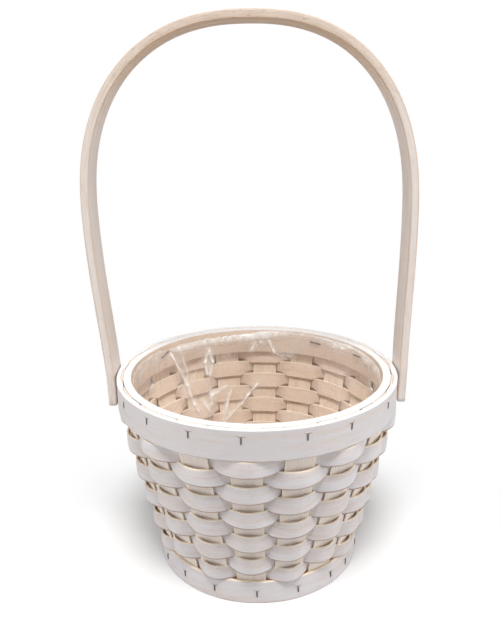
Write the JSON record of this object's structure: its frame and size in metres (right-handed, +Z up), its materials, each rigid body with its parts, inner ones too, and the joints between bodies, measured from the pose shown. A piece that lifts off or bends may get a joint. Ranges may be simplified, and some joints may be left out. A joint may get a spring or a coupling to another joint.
{
  "type": "basket",
  "caption": "Round chip-wood basket of woven strips between two rims, with a thin film liner and a tall swinging loop handle.",
  "frame": {"origin": "middle of the base disc's underside, on the plane the basket stands on", "axes": "+Z up through the handle's crown, +X along the line of the two handle screws, -Y the front"},
  "size_m": [0.2453, 0.2209, 0.4177],
  "materials": {
    "rim_wood": "whitewashed, nearly white on top",
    "band_wood": "whitewashed chip wood",
    "weaver_wood": "whitewashed chip wood with bare tan edges",
    "stake_wood": "thinly whitewashed chip wood",
    "handle_wood": "whitewashed bent wood, worn",
    "base_board": "bare board",
    "film": "clear thin film",
    "staple_steel": "dull wire",
    "screw_steel": "dull plated"
  },
  "bodies": {
    "basket": {"base_disc": "base_board", "bottom_band": "band_wood", "outer_rim_hoop": "rim_wood", "inner_rim_hoop": "rim_wood", "liner": "film", "handle_screw_left": "screw_steel", "handle_screw_right": "screw_steel", "weaver_01": "weaver_wood", "weaver_02": "weaver_wood", "weaver_03": "weaver_wood", "weaver_04": "weaver_wood", "weaver_05": "weaver_wood", "weaver_06": "weaver_wood", "weaver_07": "weaver_wood", "weaver_08": "weaver_wood", "weaver_09": "weaver_wood", "weaver_10": "weaver_wood", "stake_01": "stake_wood", "stake_02": "stake_wood", "stake_03": "stake_wood", "stake_04": "stake_wood", "stake_05": "stake_wood", "stake_06": "stake_wood", "stake_07": "stake_wood", "stake_08": "stake_wood", "stake_09": "stake_wood", "stake_10": "stake_wood", "stake_11": "stake_wood", "stake_12": "stake_wood", "stake_13": "stake_wood", "stake_14": "stake_wood", "stake_15": "stake_wood", "stake_16": "stake_wood", "stake_17": "stake_wood", "stake_18": "stake_wood", "rim_staple_01": "staple_steel", "rim_staple_02": "staple_steel", "rim_staple_03": "staple_steel", "rim_staple_04": "staple_steel", "rim_staple_05": "staple_steel", "rim_staple_06": "staple_steel", "rim_staple_07": "staple_steel", "rim_staple_08": "staple_steel", "rim_staple_09": "staple_steel", "rim_staple_10": "staple_steel", "rim_staple_11": "staple_steel", "rim_staple_12": "staple_steel", "rim_staple_13": "staple_steel", "rim_staple_14": "staple_steel", "rim_staple_15": "staple_steel", "rim_staple_16": "staple_steel", "rim_staple_17": "staple_steel", "rim_staple_18": "staple_steel"},
    "handle": {"handle": "handle_wood"}
  },
  "joints": [
    {"name": "handle_swing", "type": "hinge", "parent": "basket", "child": "handle", "pos_m": [0, 0, 0.143], "axis": [1, 0, 0], "range_deg": [-117, 117]}
  ]
}
